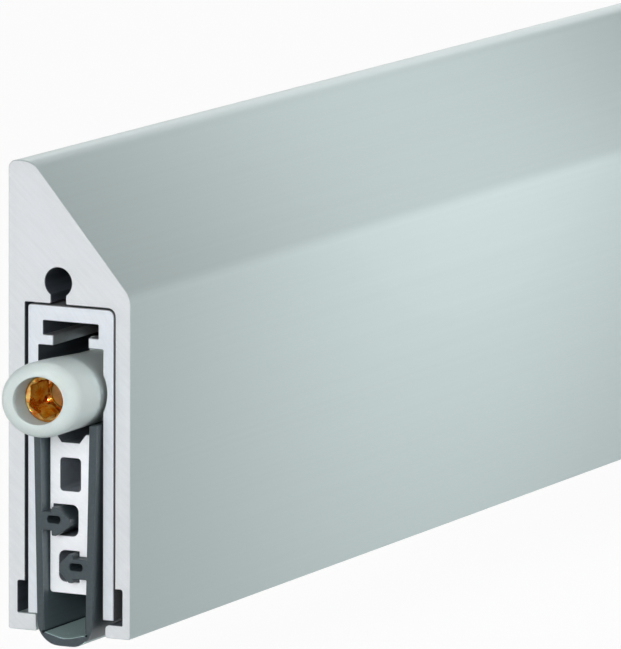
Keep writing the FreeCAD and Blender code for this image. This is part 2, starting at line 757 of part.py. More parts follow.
def drop_bar(cams):
    body = new_body("drop_bar")
    sketch = new_sketch(body, "bar_section", "YZ_Plane", "places.near_end")
    back = offset_from_centre("places.bar_half")
    front = offset_from_centre("-places.bar_half")
    floor = "places.bar_top - dims.groove_depth"
    back_slot = bar_slot("1", "places.back_slot", "dims.back_neck", "dims.back_lip", "places.back_chamber")
    front_slot = bar_slot("-1", "places.front_slot", "dims.front_neck", "places.front_lip", "places.front_chamber")
    draw_loop(sketch, [
        (front, "places.bar_top"),
        (offset_from_centre("-places.groove_half"), "places.bar_top"),
        (offset_from_centre("-places.groove_floor_half"), floor),
        (offset_from_centre("places.groove_floor_half"), floor),
        (offset_from_centre("places.groove_half"), "places.bar_top"),
        (back, "places.bar_top"),
        *back_slot,
        (back, "places.bar_bottom"),
        (front, "places.bar_bottom"),
        *front_slot[::-1],
    ])
    hollow_bottom = "places.hollow_top - dims.hollow_height"
    hollow = rectangle(offset_from_centre("-places.hollow_half"), offset_from_centre("places.hollow_half"),
                       hollow_bottom, "places.hollow_top")
    draw_loop(sketch, hollow)
    pad(body, "bar_profile", sketch, "dims.length")
    round_corners(body, "bar_edges", [(back, "places.bar_bottom"), (front, "places.bar_bottom")], "dims.bar_round")
    round_corners(body, "hollow_corners", hollow, "dims.hollow_round")
    round_corners(body, "chamber_corners", [back_slot[3], back_slot[4], front_slot[3], front_slot[4]],
                  "dims.chamber_round")
    gaps = new_sketch(body, "lobe_windows", "XY_Plane", "places.hollow_top - dims.hollow_round")
    for cam in cams:
        draw_loop(gaps, window(cam))
    pocket(body, "windows", gaps, "places.bar_top - places.hollow_top + dims.hollow_round")
    holes = new_sketch(body, "bar_rivet_holes", "XY_Plane", "places.hollow_top - dims.hollow_round")
    for cam in cams:
        for rivet in saddle_rivet_places(cam):
            draw_circle(holes, rivet, "places.centre", "dims.saddle_rivet + 2 * dims.press_gap")
    pocket(body, "bar_rivet_passages", holes, "places.bar_top - places.hollow_top + dims.hollow_round")
    return body


def leg_inner(height):
    # distance from the centre line to a leg's inner face, which leans in towards the sole
    return f"(places.leg_foot - dims.leg_thickness + places.leg_slope * ({height} - places.sole))"


def barb(side, slot, neck, lip, depth, setback, tip_gap):
    # arrow-headed rib on a leg's inner face that snaps into the bar's slot, from top to bottom
    stem = f"({neck} / 2 - dims.barb_gap)"
    wing = "(dims.chamber_height / 2 - dims.wing_gap)"
    wing_back = f"(places.bar_half - {lip} - {setback})"
    wing_front = f"({wing_back} - dims.wing_length)"
    tip = f"(places.bar_half - {lip} - {depth} + {tip_gap})"
    upper = [
        (leg_inner(f"({slot} + {stem})"), stem),
        (wing_back, stem),
        (wing_back, wing),
        (wing_front, wing),
        (tip, "dims.tip_half"),
    ]
    lower = [(leg_inner(f"({slot} - {stem})"), f"-{stem}")]
    lower += [(o, f"-{z}") for o, z in upper[1:]]
    return [(offset_from_centre(f"{side} * {o}"), f"{slot} + ({z})") for o, z in upper + lower[::-1]]


def barb_hole(side, slot, lip, depth, tip_gap, nose):
    # the small hollow that lets a barb squeeze together
    near = "(places.bar_half - dims.barb_hole_setback)"
    far = f"(places.bar_half - {lip} - {depth} + {tip_gap} + {nose})"
    middle = f"{slot} + dims.barb_hole_rise"
    half = "dims.barb_hole_height / 2"
    return rectangle(offset_from_centre(f"{side} * {far}"), offset_from_centre(f"{side} * {near}"),
                     f"{middle} - {half}", f"{middle} + {half}")


def seal():
    body = new_body("seal")
    sketch = new_sketch(body, "seal_section", "YZ_Plane", "places.near_end - dims.seal_overhang")
    inner_top = "places.leg_top - dims.leg_bevel"
    corner = "places.floor_edge"
    pit = "places.floor_edge - dims.floor_sag"
    back_barb = barb("1", "places.back_slot", "dims.back_neck", "dims.back_lip", "places.back_chamber",
                     "dims.back_wing_setback", "dims.back_tip_gap")
    front_barb = barb("-1", "places.front_slot", "dims.front_neck", "places.front_lip", "places.front_chamber",
                      "dims.front_wing_setback", "dims.front_tip_gap")

    def notch(side):
        # nick that lets the leg fold at the floor's edge
        above = f"({corner} + dims.notch_size)"
        return [
            (offset_from_centre(f"{side} * {leg_inner(above)}"), above),
            (offset_from_centre(f"{side} * ({leg_inner(corner)} + dims.notch_size)"), corner),
            (offset_from_centre(f"{side} * ({leg_inner(corner)} - dims.notch_size / 2)"), corner),
        ]

    outer_back = [
        (offset_from_centre("places.leg_foot"), "places.sole"),
        (offset_from_centre("places.leg_outer"), "places.leg_top"),
        (offset_from_centre(leg_inner(f"({inner_top})")), inner_top),
    ]
    outer_front = [
        (offset_from_centre(f"-{leg_inner('(' + inner_top + ')')}"), inner_top),
        (offset_from_centre("-places.leg_outer"), "places.leg_top"),
        (offset_from_centre("-places.leg_foot"), "places.sole"),
    ]
    dip = (offset_from_centre("0"), pit)
    draw_loop(sketch, outer_back + back_barb + notch("1") + [dip] + notch("-1")[::-1] + front_barb[::-1]
              + outer_front)
    draw_loop(sketch, barb_hole("1", "places.back_slot", "dims.back_lip", "places.back_chamber",
                                "dims.back_tip_gap", "dims.back_nose"))
    draw_loop(sketch, barb_hole("-1", "places.front_slot", "places.front_lip", "places.front_chamber",
                                "dims.front_tip_gap", "dims.front_nose"))
    pad(body, "seal_profile", sketch, "dims.length + 2 * dims.seal_overhang")
    round_corners(body, "sole_edges", [outer_back[0], outer_front[-1]], "dims.sole_round")
    round_corners(body, "floor_dip", [dip], "places.floor_round")
    return body


def check_document():
    # a failed feature doesn't stop a recompute, so each one is looked at
    for item in doc.Objects:
        if "Invalid" in item.State or "Error" in item.State:
            raise RuntimeError(f"{item.Label} failed: {item.State}")


def main():
    cams = ["places.near_cam", "places.far_cam"]
    stations = block_stations()
    rivets = [spot for cam in cams for spot in saddle_rivet_places(cam)]
    pieces = [
        cover(),
        channel(),
        plunger_head(),
        adjuster(),
        push_rod(),
        turned_ring("spring_collar", "places.collar_start", "dims.collar_length", "places.collar_diameter",
                    "places.rod_diameter + 2 * dims.press_gap"),
        return_spring(),
        rod_bush(),
        lift_strip(cams),
        cross_pin("strip_rivet", "places.strip_start + dims.rod_fork / 2", "places.axis_height",
                  "dims.rivet_diameter", "(places.rod_diameter / 2 - dims.block_gap)"),
        pin_group("block_pins", block_pin_places(), "dims.block_pin", "places.lobe_top + 2 * dims.block_gap",
                  "places.channel_top"),
        drop_bar(cams),
        pin_group("saddle_rivets", rivets, "dims.saddle_rivet", "places.hollow_top + dims.block_gap",
                  "places.saddle_top"),
        seal(),
    ]
    for end, cam, (start, length) in zip(("near", "far"), cams, stations[1:]):
        pieces.append(guide_block(f"{end}_guide_block", start, length, cam))
        pieces.append(follower_saddle(f"{end}_follower", cam))
        pieces.append(cross_pin(f"{end}_follower_pin", cam, "places.pin_height", "dims.pin_diameter",
                                "places.cheek_outer"))
    doc.recompute()
    check_document()
    for piece in pieces:
        if piece.Shape.isNull() or not piece.Shape.isValid():
            raise RuntimeError(f"{piece.Label} has no valid shape")
    os.makedirs("parts", exist_ok=True)
    for piece in pieces:
        piece.Shape.exportStep(f"parts/{piece.Label}.step")
        print(piece.Label, len(piece.Shape.Solids), round(piece.Shape.Volume, 2))


main()
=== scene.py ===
import math

import bpy
import numpy as np
from mathutils import Matrix, Vector
from mathutils.geometry import tessellate_polygon


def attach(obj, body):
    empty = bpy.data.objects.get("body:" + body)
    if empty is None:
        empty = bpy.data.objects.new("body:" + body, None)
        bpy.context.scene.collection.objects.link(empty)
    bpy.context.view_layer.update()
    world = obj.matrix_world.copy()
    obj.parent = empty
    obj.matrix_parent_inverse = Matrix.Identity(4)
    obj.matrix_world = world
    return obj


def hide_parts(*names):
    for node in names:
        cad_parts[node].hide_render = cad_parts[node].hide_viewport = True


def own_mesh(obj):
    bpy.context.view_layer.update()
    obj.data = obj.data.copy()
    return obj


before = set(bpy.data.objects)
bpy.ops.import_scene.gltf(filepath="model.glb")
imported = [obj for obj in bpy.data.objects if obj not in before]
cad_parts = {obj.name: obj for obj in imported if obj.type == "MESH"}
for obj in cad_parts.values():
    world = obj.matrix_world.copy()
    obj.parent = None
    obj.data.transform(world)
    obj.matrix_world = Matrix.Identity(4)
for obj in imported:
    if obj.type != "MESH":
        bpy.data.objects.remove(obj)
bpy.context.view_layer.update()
print("frame loaded:", len(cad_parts), "nodes")

mm = 0.001
doorSeal = dict(length=335.0, centreY=-8.95, axisZ=31.4)  # mm, shared by every profile
nearX = -doorSeal["length"] / 2
farX = doorSeal["length"] / 2
midY = doorSeal["centreY"]
axisZ = doorSeal["axisZ"]
outerSlot, endSlot, paintedLightAndShadeSlot, paintedLightWallSlot = 0, 1, 2, 3  # finishes of an extruded piece: outside, cut ends, painted shade in the cover's and channel's hollows and painted light on the seal's floor, painted light on the seal's inner walls


# Sections: loops in the Y-Z plane, in mm

def filletLoop(corners, radii, steps=9):
    # each corner turns into an arc that touches both of its sides; radius 0 keeps the corner
    p = np.asarray(corners, float)
    r = np.asarray(radii, float)[:, None]
    back = np.roll(p, 1, 0) - p
    ahead = np.roll(p, -1, 0) - p
    back /= np.linalg.norm(back, axis=1, keepdims=True)
    ahead /= np.linalg.norm(ahead, axis=1, keepdims=True)
    half = np.arccos(np.clip((back * ahead).sum(1, keepdims=True), -1, 1)) / 2
    bisector = back + ahead
    bisector /= np.maximum(np.linalg.norm(bisector, axis=1, keepdims=True), 1e-9)
    centre = p + bisector * r / np.maximum(np.sin(half), 1e-9)
    start = p + back * r / np.tan(half) - centre
    end = p + ahead * r / np.tan(half) - centre
    sweep = np.maximum(np.pi - 2 * half, 1e-6)[:, :, None]
    t = np.linspace(0, 1, steps)[None, :, None]
    arc = (np.sin((1 - t) * sweep) * start[:, None] + np.sin(t * sweep) * end[:, None]) / np.sin(sweep)
    return tidyLoop((centre[:, None] + arc).reshape(-1, 2))


def tidyLoop(loop):
    # drops repeated points and turns the loop anticlockwise as seen from +X
    loop = loop[np.linalg.norm(loop - np.roll(loop, 1, 0), axis=1) > 1e-4]
    y, z = loop.T
    area = (y * np.roll(z, -1) - np.roll(y, -1) * z).sum()
    return loop if area > 0 else loop[::-1]


def insetLoop(loop, depth):
    # moves each point inwards along its normal, which is the turned chord of its neighbours
    chord = np.roll(loop, -1, 0) - np.roll(loop, 1, 0)
    chord /= np.linalg.norm(chord, axis=1, keepdims=True)
    return loop + depth * np.stack([-chord[:, 1], chord[:, 0]], 1)


def arcPoints(centre, radius, fromDeg, toDeg, count):
    # points on a circle, by angle from +Y towards +Z
    a = np.radians(np.linspace(fromDeg, toDeg, count))
    return np.stack([centre[0] + radius * np.cos(a), centre[1] + radius * np.sin(a)], 1)


# Surfaces: a grid of points whose rows are rings, put into a mesh as whole arrays

def gridQuads(rows, columns, offset=0, closeRows=False):
    # four corners of every cell; columns always close on themselves
    i = np.arange(rows if closeRows else rows - 1)[:, None]
    j = np.arange(columns)[None, :]
    nextI = (i + 1) % rows
    nextJ = (j + 1) % columns
    cells = [i * columns + j, i * columns + nextJ, nextI * columns + nextJ, nextI * columns + j]
    return offset + np.stack([np.broadcast_to(c, (len(i), columns)) for c in cells], -1).reshape(-1, 4)


def capTriangles(rings, towards):
    # fills the flat end between an outer ring and its holes, facing the given way along X
    points = np.concatenate(rings)
    tris = np.array(tessellate_polygon([[Vector(p) for p in ring] for ring in rings]))
    a, b, c = points[tris[:, 0]], points[tris[:, 1]], points[tris[:, 2]]
    side = np.cross(b - a, c - a)[:, 0] * towards
    tris[side < 0] = tris[side < 0][:, ::-1]
    return tris


def finishMesh(name, points, faces, materials, faceSlots=None, sharpDeg=32):
    # a grid of points in mm becomes a smooth mesh with sharp edges by angle; cut ends stay flat
    mesh = bpy.data.meshes.new(name)
    mesh.from_pydata((np.asarray(points) * mm).tolist(), [], [list(f) for f in faces])
    for material in materials:
        mesh.materials.append(material)
    smooth = np.ones(len(mesh.polygons), bool)
    if faceSlots is not None:
        mesh.polygons.foreach_set("material_index", np.asarray(faceSlots, np.int32))
        smooth = np.asarray(faceSlots) != endSlot
    mesh.polygons.foreach_set("use_smooth", smooth)
    mesh.validate()
    mesh.update()
    mesh.set_sharp_from_angle(angle=math.radians(sharpDeg))
    piece = bpy.data.objects.new(name, mesh)
    bpy.context.scene.collection.objects.link(piece)
    return piece


def sideSlots(rings, slotAt):
    # the material slot of each side face, from where its middle lies in the section
    middle = (rings[:, :, 1:] + np.roll(rings[:, :, 1:], -1, 1)) / 2
    middle = (middle[:-1] + middle[1:]) / 2
    return slotAt(middle[..., 0], middle[..., 1]).reshape(-1)


def extrusion(name, loops, startX, endX, finishes, edge=0.08, slotAt=None):
    # the section carried along X with broken edges; loops are the outer one and then its holes
    drawnIn = np.array([1.0, 0.0, 0.0, 1.0]) * edge
    xs = np.array([startX, startX + edge, endX - edge, endX])
    points, faces, slots, firsts, lasts = [], [], [], [], []
    count = 0
    for number, loop in enumerate(loops):
        turned = loop if number == 0 else loop[::-1]
        rings = np.stack([np.column_stack([np.full(len(turned), x), insetLoop(turned, d)])
                          for x, d in zip(xs, drawnIn)])
        points.append(rings.reshape(-1, 3))
        quads = gridQuads(len(xs), len(turned), count)
        faces.extend(quads.tolist())
        slots.extend(sideSlots(rings, slotAt) if slotAt else [outerSlot] * len(quads))
        firsts.append((count, rings[0]))
        lasts.append((count + (len(xs) - 1) * len(turned), rings[-1]))
        count += rings.shape[0] * rings.shape[1]
    for ends, towards in ((firsts, -1), (lasts, 1)):
        numbers = np.concatenate([first + np.arange(len(ring)) for first, ring in ends])
        tris = numbers[capTriangles([ring for _, ring in ends], towards)]
        faces.extend(tris.tolist())
        slots.extend([endSlot] * len(tris))
    return finishMesh(name, np.concatenate(points), faces, finishes, slots)


# Materials: colours are sRGB hex values, patterns are sized in mm

def hexColour(code):
    # sRGB hex to linear, with alpha
    srgb = np.array([int(code[i:i + 2], 16) for i in (1, 3, 5)]) / 255
    linear = np.where(srgb <= 0.04045, srgb / 12.92, ((srgb + 0.055) / 1.055) ** 2.4)
    return (*linear.tolist(), 1.0)


def addNode(tree, kind, settings=None, links=None):
    # settings go to inputs by name or number, and otherwise to the node itself
    node = tree.nodes.new(kind)
    for key, setting in (settings or {}).items():
        if isinstance(key, int) or key in node.inputs:
            node.inputs[key].default_value = setting
        else:
            setattr(node, key, setting)
    for key, source in (links or {}).items():
        tree.links.new(source, node.inputs[key])
    return node


def newMaterial(name, look):
    # a principled surface whose plain numbers sit on its own sockets
    material = bpy.data.materials.new(name)
    material.use_nodes = True
    tree = material.node_tree
    tree.nodes.clear()
    shader = addNode(tree, "ShaderNodeBsdfPrincipled", look)
    addNode(tree, "ShaderNodeOutputMaterial", links={"Surface": shader.outputs[0]})
    return material, tree, shader


noiseRange = (0.3, 0.7)  # where nearly all values of the noise lie


def stretchedNoise(tree, sizes, detail, turn=(0, 0, 0)):
    # noise whose grain is sizes mm long on each axis, after a turn in degrees
    place = addNode(tree, "ShaderNodeTexCoord")
    laid = addNode(tree, "ShaderNodeMapping", {"Rotation": [math.radians(a) for a in turn]},
                   {"Vector": place.outputs["Object"]})
    scaled = addNode(tree, "ShaderNodeMapping", {"Scale": [1 / (s * mm) for s in sizes]},
                     {"Vector": laid.outputs[0]})
    noise = addNode(tree, "ShaderNodeTexNoise", {"Scale": 1.0, "Detail": detail, "Roughness": 0.55},
                    {"Vector": scaled.outputs[0]})
    return noise.outputs["Fac"]


def between(tree, factor, low, high):
    # spreads a noise value, which stays near its middle, over a range of numbers
    spread = {"From Min": noiseRange[0], "From Max": noiseRange[1], "To Min": low, "To Max": high}
    return addNode(tree, "ShaderNodeMapRange", spread, {"Value": factor}).outputs[0]


def tinted(tree, factor, dark, light):
    # colours a noise value between two hex colours
    ramp = addNode(tree, "ShaderNodeValToRGB", links={"Fac": factor})
    for stop, position, code in zip(ramp.color_ramp.elements, noiseRange, (dark, light)):
        stop.position = position
        stop.color = hexColour(code)
    return ramp.outputs[0]


def addBump(tree, shader, height, depth):
    # depth in mm
    bump = addNode(tree, "ShaderNodeBump", {"Strength": 1.0, "Distance": depth * mm}, {"Height": height})
    tree.links.new(bump.outputs[0], shader.inputs["Normal"])


def dress(tree, shader, pattern, colours, rough):
    # one pattern drives both the colour and the roughness
    tree.links.new(tinted(tree, pattern, *colours), shader.inputs["Base Color"])
    tree.links.new(between(tree, pattern, *rough), shader.inputs["Roughness"])


def anodisedAluminium():
    # satin anodised extrusion: soft grey-green sheen with faint drawing lines along its length
    material, tree, shader = newMaterial("anodisedAluminium", {"Metallic": 0.6})
    lines = stretchedNoise(tree, (160.0, 0.5, 0.5), detail=2.0)
    dress(tree, shader, lines, ("#b3c0c0", "#b7c4c4"), (0.40, 0.46))
    addBump(tree, shader, lines, 0.002)
    return material


def sawnAluminium(name, dark, light, turn):
    # saw-cut end: pale bare metal with a fine grain and faint slanting tooth marks
    material, tree, shader = newMaterial(name, {"Metallic": 0.35})
    marks = stretchedNoise(tree, (1.0, 4.0, 0.3), detail=3.0, turn=(turn, 0, 0))
    dress(tree, shader, marks, (dark, light), (0.46, 0.54))
    addBump(tree, shader, marks, 0.003)
    return material


def millAluminium():
    # plain mill finish outside the channel: bare grey metal with drawing lines
    material, tree, shader = newMaterial("millAluminium", {"Metallic": 0.7})
    lines = stretchedNoise(tree, (120.0, 0.4, 0.4), detail=2.0)
    dress(tree, shader, lines, ("#a9adb0", "#b4b8bb"), (0.38, 0.48))
    addBump(tree, shader, lines, 0.004)
    return material


def paintedShadeInside():
    # inner faces of the extrusions: dull dark slate with drawing lines, a painted shade for the hollows
    # where little light reaches
    material, tree, shader = newMaterial("paintedShadeInside", {"Metallic": 0.2})
    lines = stretchedNoise(tree, (120.0, 0.6, 0.6), detail=2.0)
    dress(tree, shader, lines, ("#3c4249", "#50575f"), (0.45, 0.58))
    addBump(tree, shader, lines, 0.006)
    return material


def brightAluminium():
    # bright mill finish on the cut ends; the duller grey along the length is partly a plainer finish and
    # partly painted shade for the bar's hollow
    material, tree, shader = newMaterial("brightAluminium", {"Metallic": 0.3})
    grain = stretchedNoise(tree, (2.0, 3.0, 0.4), detail=2.0, turn=(-35, 0, 0))
    place = addNode(tree, "ShaderNodeTexCoord")
    along = addNode(tree, "ShaderNodeSeparateXYZ", links={0: place.outputs["Object"]})
    away = addNode(tree, "ShaderNodeMath", {"operation": "ABSOLUTE"}, {0: along.outputs["X"]})
    endDepth = 0.02  # mm, how far the bright finish reaches in
    atEnd = addNode(tree, "ShaderNodeMath", {"operation": "GREATER_THAN", 1: (farX - endDepth) * mm},
                    {0: away.outputs[0]})
    mixed = addNode(tree, "ShaderNodeMix", {"data_type": "RGBA"}, {"Factor": atEnd.outputs[0]})
    colours = [socket for socket in mixed.inputs if socket.type == "RGBA"]
    # painted shade: the duller grey darkens the bar's hollow
    colours[0].default_value = hexColour("#929aa3")
    tree.links.new(tinted(tree, grain, "#f0f4f8", "#f5f8fb"), colours[1])
    result = [socket for socket in mixed.outputs if socket.type == "RGBA"][0]
    tree.links.new(result, shader.inputs["Base Color"])
    tree.links.new(between(tree, grain, 0.44, 0.52), shader.inputs["Roughness"])
    addBump(tree, shader, grain, 0.002)
    return material


def greyNylon():
    # moulded nylon: silky, slightly glossy pale grey-green with a fine even texture
    look = {"Roughness": 0.34, "IOR": 1.53, "Subsurface Weight": 0.05, "Subsurface Scale": 0.5 * mm}
    material, tree, shader = newMaterial("greyNylon", look)
    grain = stretchedNoise(tree, (0.22, 0.22, 0.22), detail=2.0)
    clouds = stretchedNoise(tree, (4.0, 4.0, 4.0), detail=1.0)
    tree.links.new(tinted(tree, clouds, "#bfcbc9", "#c5d0ce"), shader.inputs["Base Color"])
    addBump(tree, shader, grain, 0.002)
    return material


def turnedBrass():
    # turned brass: deep yellow metal with uneven, shiny facets; the wide spread of colour is partly the
    # brass's tone and partly painted glints and painted dark reflections
    look = {"Metallic": 1.0, "Specular Tint": hexColour("#ffb840")}
    material, tree, shader = newMaterial("turnedBrass", look)
    grain = stretchedNoise(tree, (1.5, 1.0, 1.0), detail=2.0)
    # the colour spread from dark orange to pale yellow is partly painted glints
    dress(tree, shader, grain, ("#dc7410", "#ffe08a"), (0.10, 0.24))
    addBump(tree, shader, grain, 0.25)
    return material


def sealRubber(name, dark, light):
    # extruded rubber: dark slate, silky, with faint lines along the run
    material, tree, shader = newMaterial(name, {"IOR": 1.5})
    lines = stretchedNoise(tree, (90.0, 0.35, 0.35), detail=2.0)
    dress(tree, shader, lines, (dark, light), (0.36, 0.44))
    addBump(tree, shader, lines, 0.004)
    return material


def paintedLightFloor():
    # the seal's inner floor: the same rubber, pale grey-green as painted light for the light reaching into
    # the U
    material, tree, shader = newMaterial("paintedLightFloor", {"IOR": 1.5})
    lines = stretchedNoise(tree, (90.0, 0.5, 0.5), detail=2.0)
    dress(tree, shader, lines, ("#9bb3b2", "#a5bdbc"), (0.36, 0.44))
    return material


def platedSteel(name, dark, light, rough):
    # zinc-plated or drawn steel: grey metal with small cloudy changes of shine
    material, tree, shader = newMaterial(name, {"Metallic": 1.0})
    clouds = stretchedNoise(tree, (2.0, 1.2, 1.2), detail=3.0)
    dress(tree, shader, clouds, (dark, light), (rough, rough + 0.12))
    addBump(tree, shader, clouds, 0.004)
    return material


def blackAcetal():
    # moulded acetal: near black, waxy
    material, tree, shader = newMaterial("blackAcetal", {"IOR": 1.48})
    grain = stretchedNoise(tree, (0.3, 0.3, 0.3), detail=2.0)
    dress(tree, shader, grain, ("#232527", "#2c2e30"), (0.38, 0.5))
    addBump(tree, shader, grain, 0.005)
    return material


anodised = anodisedAluminium()
sawnCover = sawnAluminium("sawnCover", "#d6dadd", "#dce0e3", turn=-42)
sawnChannel = sawnAluminium("sawnChannel", "#dae0e6", "#e0e6ec", turn=-55)
mill = millAluminium()
# painted shade for the hollows of the cover and the channel
paintedShadeFace = paintedShadeInside()
bright = brightAluminium()
nylon = greyNylon()
brass = turnedBrass()
rubber = sealRubber("sealRubber", "#374146", "#3d474c")
# a lighter copy of the rubber: painted light on the legs' inner faces
paintedLightRubber = sealRubber("paintedLightRubber", "#5a676d", "#616e74")
# painted light on the seal's inner floor
paintedFloorLight = paintedLightFloor()
steel = platedSteel("zincSteel", "#8f9193", "#b4b6b8", 0.3)
springSteel = platedSteel("springSteel", "#707274", "#8f9193", 0.25)
acetal = blackAcetal()
print("materials ready:", len(bpy.data.materials))


# Cover: sloped aluminium profile with its pocket and keyhole screw port

coverSizes = dict(width=17.5, top=60.4, crestFlat=3.45, crease=43.95, backWall=2.4, frontWall=2.2,
                  pocketTop=42.35, foot=1.75, backFootTop=2.2, footSlot=9.9, relief=1.05, reliefTop=6.35,
                  portRadius=1.9, portZ=45.15, portShift=1.78, portSteps=40, neckHalf=1.05, neckRound=0.25,
                  backToeRound=0.25, crestBackRound=1.1, crestFrontRound=3.0, creaseRound=3.0,
                  frontToeRound=0.3, footTipRound=0.35, footTopRound=0.7, backFootRound=0.2,
                  reliefRound=0.25, pocketFrontRound=1.0, pocketBackRound=0.15, sharp=0.1)


def makeCover(s):
    # a loop of rounded corners, with the port's arc between the two sides of its neck, carried along X
    front, frontIn = -s["width"], s["frontWall"] - s["width"]
    frontRelief, backRelief = frontIn - s["relief"], s["relief"] - s["backWall"]
    frontFoot, backFoot = midY - s["footSlot"] / 2, midY + s["footSlot"] / 2
    portY = midY + s["portShift"]
    reach = math.degrees(math.acos(s["neckHalf"] / s["portRadius"]))
    arc = arcPoints((portY, s["portZ"]), s["portRadius"], 180 + reach, -reach, s["portSteps"])
    beforePort = [((0, 0), s["backToeRound"]),
                  ((0, s["top"]), s["crestBackRound"]),
                  ((-s["crestFlat"], s["top"]), s["crestFrontRound"]),
                  ((front, s["crease"]), s["creaseRound"]),
                  ((front, 0), s["frontToeRound"]),
                  ((frontFoot, 0), s["footTipRound"]),
                  ((frontFoot, s["foot"]), s["footTopRound"]),
                  ((frontRelief, s["foot"]), s["sharp"]),
                  ((frontRelief, s["reliefTop"]), s["reliefRound"]),
                  ((frontIn, s["reliefTop"]), s["sharp"]),
                  ((frontIn, s["pocketTop"]), s["pocketFrontRound"]),
                  ((portY - s["neckHalf"], s["pocketTop"]), s["neckRound"])]
    afterPort = [((portY + s["neckHalf"], s["pocketTop"]), s["neckRound"]),
                 ((-s["backWall"], s["pocketTop"]), s["pocketBackRound"]),
                 ((-s["backWall"], s["reliefTop"]), s["sharp"]),
                 ((backRelief, s["reliefTop"]), s["reliefRound"]),
                 ((backRelief, s["backFootTop"]), s["sharp"]),
                 ((backFoot, s["backFootTop"]), s["backFootRound"]),
                 ((backFoot, 0), s["backFootRound"])]
    corners = [c for c, _ in beforePort] + arc.tolist() + [c for c, _ in afterPort]
    radii = [r for _, r in beforePort] + [0.0] * len(arc) + [r for _, r in afterPort]
    loop = filletLoop(corners, radii)

    def coverSlot(y, z):
        # the port, the pocket and the front foot's top are dark with painted shade; the back foot's top
        # keeps the outer finish
        portRoom, portRise, skin, slack = 0.4, 2.4, 0.6, 0.1
        backLift, frontDrop = 0.05, 0.2
        port = (abs(y - portY) < s["portRadius"] + portRoom) & (z > s["pocketTop"] - slack)
        port &= z < s["portZ"] + portRise
        floorZ = np.where(y > midY, s["backFootTop"] + backLift, s["foot"] - frontDrop)
        pocket = (y > front + skin) & (y < -skin) & (z > floorZ) & (z < s["pocketTop"] + slack)
        return np.where(port | pocket, paintedLightAndShadeSlot, outerSlot)

    finishes = [anodised, sawnCover, paintedShadeFace]
    return extrusion("coverProfile", [loop], nearX, farX, finishes, slotAt=coverSlot)


cover = makeCover(coverSizes)
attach(cover, "cover")
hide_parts("cover")
print("cover made")


# Guide channel: inverted U with ledges and tee slot, bored at the near end for the plunger

channelSizes = dict(back=-2.8, front=-15.1, top=42.15, bottom=2.25, innerHalf=4.6, teeTop=40.15,
                    teeHalf=3.925, ledgeTop=38.35, ledgeBottom=37.0, ledgeHalf=2.525, boreRadius=5.17,
                    boreDepth=19.8, boreSteps=25, frontRound=0.85, backRound=0.45, sharp=0.12,
                    roundSteps=7, edge=0.08)


def makeChannel(s):
    # one loop carried along X; its wall points lie on the bore near the end and on the wall after it
    rise = math.sqrt(s["boreRadius"] ** 2 - s["innerHalf"] ** 2)
    lift = np.linspace(-rise, rise, s["boreSteps"])
    bulge = np.sqrt(s["boreRadius"] ** 2 - lift ** 2)

    def half(side, wall):
        # one side of the hollow from its foot up the wall, round the ledge and into the tee slot
        wallPoints = np.column_stack([midY + side * wall, axisZ + lift]).tolist()
        ledgeY, teeY = midY + side * s["ledgeHalf"], midY + side * s["teeHalf"]
        innerY = midY + side * s["innerHalf"]
        ledge = [(innerY, s["ledgeBottom"]), (ledgeY, s["ledgeBottom"]), (ledgeY, s["ledgeTop"]),
                 (teeY, s["ledgeTop"]), (teeY, s["teeTop"])]
        points = [(innerY, s["bottom"])] + wallPoints + ledge
        radii = [s["sharp"]] + [0.0] * len(wallPoints) + [s["sharp"]] * len(ledge)
        return points, radii

    def section(wall):
        # the outside, then up one side of the hollow and down the other
        up, upRound = half(-1, wall)
        down, downRound = half(1, wall)
        outer = [(s["back"], s["bottom"]), (s["back"], s["top"]),
                 (s["front"], s["top"]), (s["front"], s["bottom"])]
        outerRound = [s["sharp"], s["backRound"], s["frontRound"], s["sharp"]]
        rounds = outerRound + upRound + downRound[::-1]
        return filletLoop(outer + up + down[::-1], rounds, s["roundSteps"])

    bored = section(bulge)
    plain = section(np.full_like(bulge, s["innerHalf"]))
    e = s["edge"]
    stepX = nearX + s["boreDepth"]
    stations = [(nearX, bored, e), (nearX + e, bored, 0), (stepX, bored, 0), (stepX, plain, 0),
                (farX - e, plain, 0), (farX, plain, e)]
    rings = np.stack([np.column_stack([np.full(len(loop), x), insetLoop(loop, d)])
                      for x, loop, d in stations])
    count = rings.shape[1]
    faces = gridQuads(len(stations), count).tolist()

    def channelSlot(y, z):
        # the hollow is dark with painted shade, apart from the ledges
        room, slack = 0.2, 0.05
        out = abs(y - midY)
        hollow = (out < s["boreRadius"] + room) & (z > s["bottom"] + slack) & (z < s["teeTop"] + slack)
        ledge = (out < s["teeHalf"] - slack) & (z > s["ledgeBottom"] + slack)
        ledge &= z < s["ledgeTop"] + slack
        return np.where(hollow & ~ledge, paintedLightAndShadeSlot, outerSlot)

    slots = sideSlots(rings, channelSlot).tolist()
    for row, towards in ((0, -1), (len(stations) - 1, 1)):
        tris = row * count + capTriangles([rings[row]], towards)
        faces.extend(tris.tolist())
        slots.extend([endSlot] * len(tris))
    finishes = [mill, sawnChannel, paintedShadeFace]
    return finishMesh("guideChannel", rings.reshape(-1, 3), faces, finishes, slots)


channel = makeChannel(channelSizes)
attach(channel, "cover")
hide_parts("guide_channel")
print("channel made")


# Seal: U-shaped rubber section with an arrow barb on each leg

